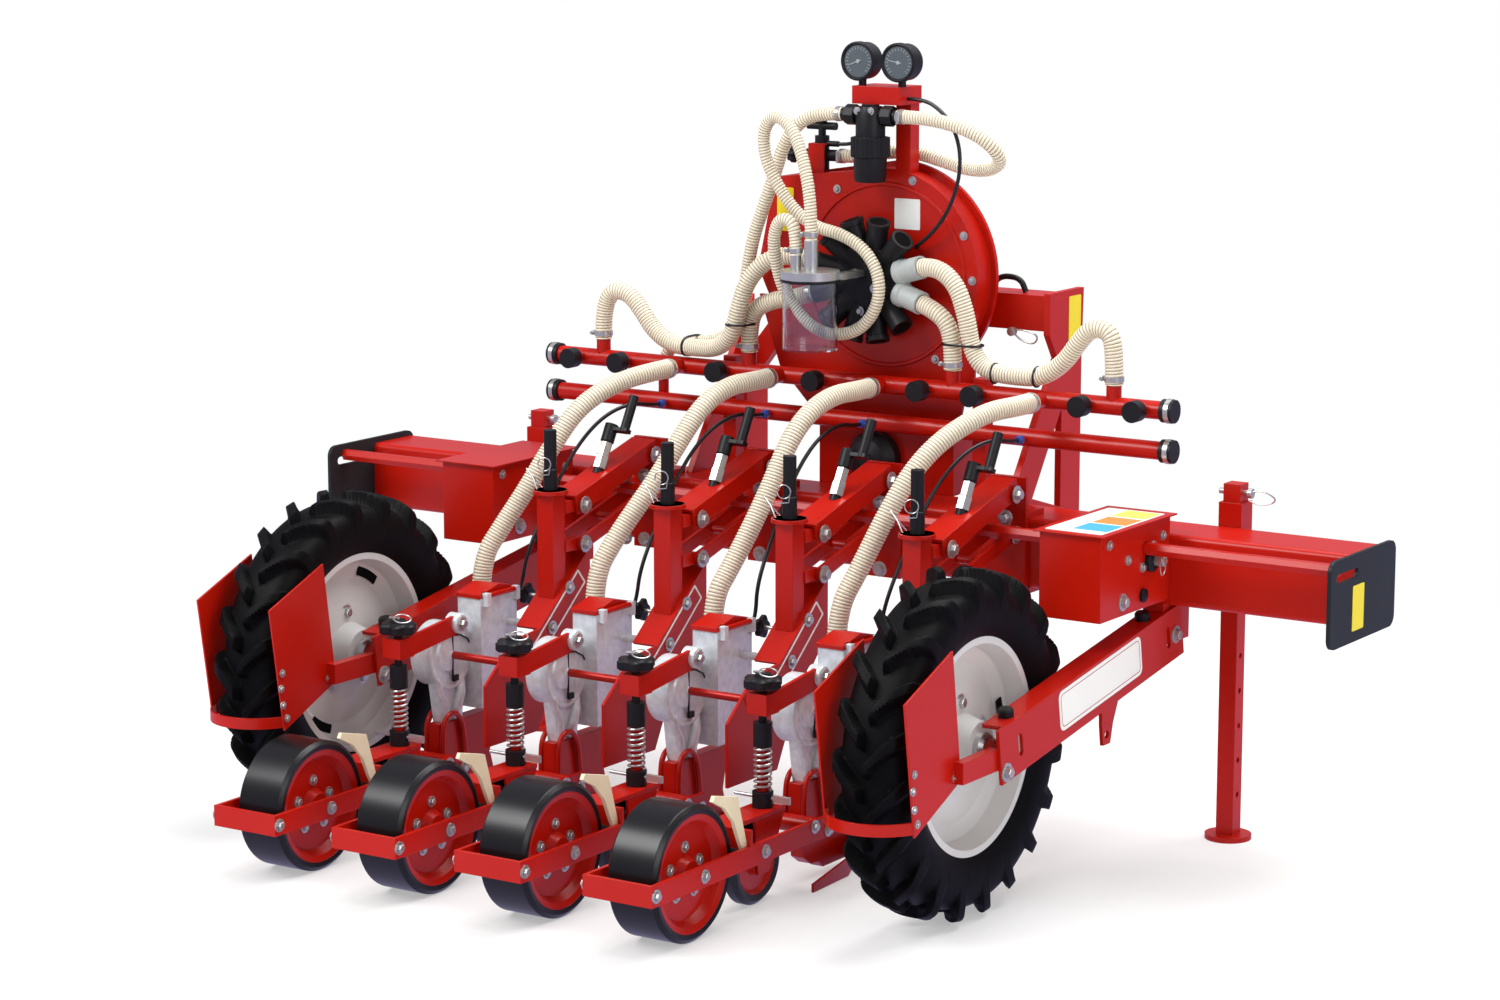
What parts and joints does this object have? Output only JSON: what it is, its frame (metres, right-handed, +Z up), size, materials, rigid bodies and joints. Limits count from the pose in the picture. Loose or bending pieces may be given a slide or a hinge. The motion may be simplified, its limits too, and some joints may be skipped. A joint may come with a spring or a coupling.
{
  "type": "row-crop precision planter",
  "caption": "Tractor-mounted vacuum planter: toolbar with row units, lugged drive wheels, fan, air manifolds and hoses.",
  "frame": {"origin": "on the floor under the middle of the machine's box", "axes": "+X along the toolbar to the right, +Y the way it travels, +Z up"},
  "size_m": [2.37, 1.564, 1.54],
  "materials": {
    "red_paint": "glossy red enamel on steel",
    "black_paint": "satin black on sheet steel",
    "cast_aluminium": "sand-blasted casting",
    "tyre": "lugged rubber",
    "smooth_rubber": "smooth black rubber",
    "rim_paint": "pale grey enamel",
    "disc_paint": "glossy red enamel",
    "black_plastic": "moulded",
    "zinc": "bright zinc plate",
    "clear_jar": "clear",
    "cream_hose": "corrugated hose",
    "black_hose": "smooth tube"
  },
  "bodies": {
    "frame": {"air_fittings": "black_plastic", "air_pipes": "black_hose", "column_springs": "zinc", "drive_box_lids": "red_paint", "drive_boxes": "red_paint", "drive_shaft": "red_paint", "fan_drive_housing": "red_paint", "fan_hoses": "cream_hose", "fan_housing": "red_paint", "gauge_mast": "red_paint", "gauges": "black_plastic", "hitch_beam": "red_paint", "hitch_frames": "red_paint", "jar": "clear_jar", "jar_lid": "zinc", "manifold_caps": "black_plastic", "manifold_stays": "red_paint", "manifolds": "red_paint", "meter_bars": "red_paint", "meter_housings": "cast_aluminium", "press_yokes": "red_paint", "pto_guards": "black_plastic", "pto_shaft": "zinc", "seed_hoses": "cream_hose", "seed_shoes": "red_paint", "service_hoses": "cream_hose", "spring_columns": "black_plastic", "stand_sleeves": "red_paint", "suction_hub": "black_plastic", "toolbar": "red_paint", "toolbar_end_plates": "black_paint", "unit_bodies": "red_paint", "unit_clamps": "red_paint", "unit_handles": "black_plastic", "unit_links": "red_paint", "unit_posts": "red_paint", "wheel_arms": "red_paint", "wheel_scrapers": "red_paint"},
    "ground_wheel_left": {"ground_tyre_left": "tyre", "ground_rim_left": "rim_paint"},
    "stand_left": {"parking_stand_left": "red_paint"},
    "ground_wheel_right": {"ground_tyre_right": "tyre", "ground_rim_right": "rim_paint"},
    "stand_right": {"parking_stand_right": "red_paint"},
    "press_wheel_1": {"press_tyre_1": "smooth_rubber", "press_disc_1": "disc_paint"},
    "firming_wheel_1": {"firming_wheel_1": "disc_paint"},
    "hopper_lid_1": {"hopper_lid_1": "red_paint"},
    "press_wheel_2": {"press_tyre_2": "smooth_rubber", "press_disc_2": "disc_paint"},
    "firming_wheel_2": {"firming_wheel_2": "disc_paint"},
    "hopper_lid_2": {"hopper_lid_2": "red_paint"},
    "press_wheel_3": {"press_tyre_3": "smooth_rubber", "press_disc_3": "disc_paint"},
    "firming_wheel_3": {"firming_wheel_3": "disc_paint"},
    "hopper_lid_3": {"hopper_lid_3": "red_paint"},
    "press_wheel_4": {"press_tyre_4": "smooth_rubber", "press_disc_4": "disc_paint"},
    "firming_wheel_4": {"firming_wheel_4": "disc_paint"},
    "hopper_lid_4": {"hopper_lid_4": "red_paint"}
  },
  "joints": [
    {"name": "ground_wheel_left_turn", "type": "hinge", "parent": "frame", "child": "ground_wheel_left", "pos_m": [-0.785, -0.22, 0.325], "axis": [1, 0, 0], "continuous": true},
    {"name": "ground_wheel_right_turn", "type": "hinge", "parent": "frame", "child": "ground_wheel_right", "pos_m": [0.649, -0.22, 0.325], "axis": [1, 0, 0], "continuous": true},
    {"name": "press_wheel_1_turn", "type": "hinge", "parent": "frame", "child": "press_wheel_1", "pos_m": [-0.55945, -0.618, 0.126], "axis": [1, 0, 0], "continuous": true},
    {"name": "firming_wheel_1_turn", "type": "hinge", "parent": "frame", "child": "firming_wheel_1", "pos_m": [-0.55945, -0.355, 0.08], "axis": [1, 0, 0], "continuous": true},
    {"name": "hopper_lid_1_hinge", "type": "hinge", "parent": "frame", "child": "hopper_lid_1", "pos_m": [-0.50245, -0.05, 0.446], "axis": [0, 1, 0], "range_deg": [0, 105]},
    {"name": "press_wheel_2_turn", "type": "hinge", "parent": "frame", "child": "press_wheel_2", "pos_m": [-0.27315, -0.618, 0.126], "axis": [1, 0, 0], "continuous": true},
    {"name": "firming_wheel_2_turn", "type": "hinge", "parent": "frame", "child": "firming_wheel_2", "pos_m": [-0.27315, -0.355, 0.08], "axis": [1, 0, 0], "continuous": true},
    {"name": "hopper_lid_2_hinge", "type": "hinge", "parent": "frame", "child": "hopper_lid_2", "pos_m": [-0.21615, -0.05, 0.446], "axis": [0, 1, 0], "range_deg": [0, 105]},
    {"name": "press_wheel_3_turn", "type": "hinge", "parent": "frame", "child": "press_wheel_3", "pos_m": [0.01315, -0.618, 0.126], "axis": [1, 0, 0], "continuous": true},
    {"name": "firming_wheel_3_turn", "type": "hinge", "parent": "frame", "child": "firming_wheel_3", "pos_m": [0.01315, -0.355, 0.08], "axis": [1, 0, 0], "continuous": true},
    {"name": "hopper_lid_3_hinge", "type": "hinge", "parent": "frame", "child": "hopper_lid_3", "pos_m": [0.07015, -0.05, 0.446], "axis": [0, 1, 0], "range_deg": [0, 105]},
    {"name": "press_wheel_4_turn", "type": "hinge", "parent": "frame", "child": "press_wheel_4", "pos_m": [0.29945, -0.618, 0.126], "axis": [1, 0, 0], "continuous": true},
    {"name": "firming_wheel_4_turn", "type": "hinge", "parent": "frame", "child": "firming_wheel_4", "pos_m": [0.29945, -0.355, 0.08], "axis": [1, 0, 0], "continuous": true},
    {"name": "hopper_lid_4_hinge", "type": "hinge", "parent": "frame", "child": "hopper_lid_4", "pos_m": [0.35645, -0.05, 0.446], "axis": [0, 1, 0], "range_deg": [0, 105]},
    {"name": "stand_left_slide", "type": "slide", "parent": "frame", "child": "stand_left", "axis": [0, 0, 1], "range_m": [0, 0.4]},
    {"name": "stand_right_slide", "type": "slide", "parent": "frame", "child": "stand_right", "axis": [0, 0, 1], "range_m": [0, 0.4]}
  ]
}
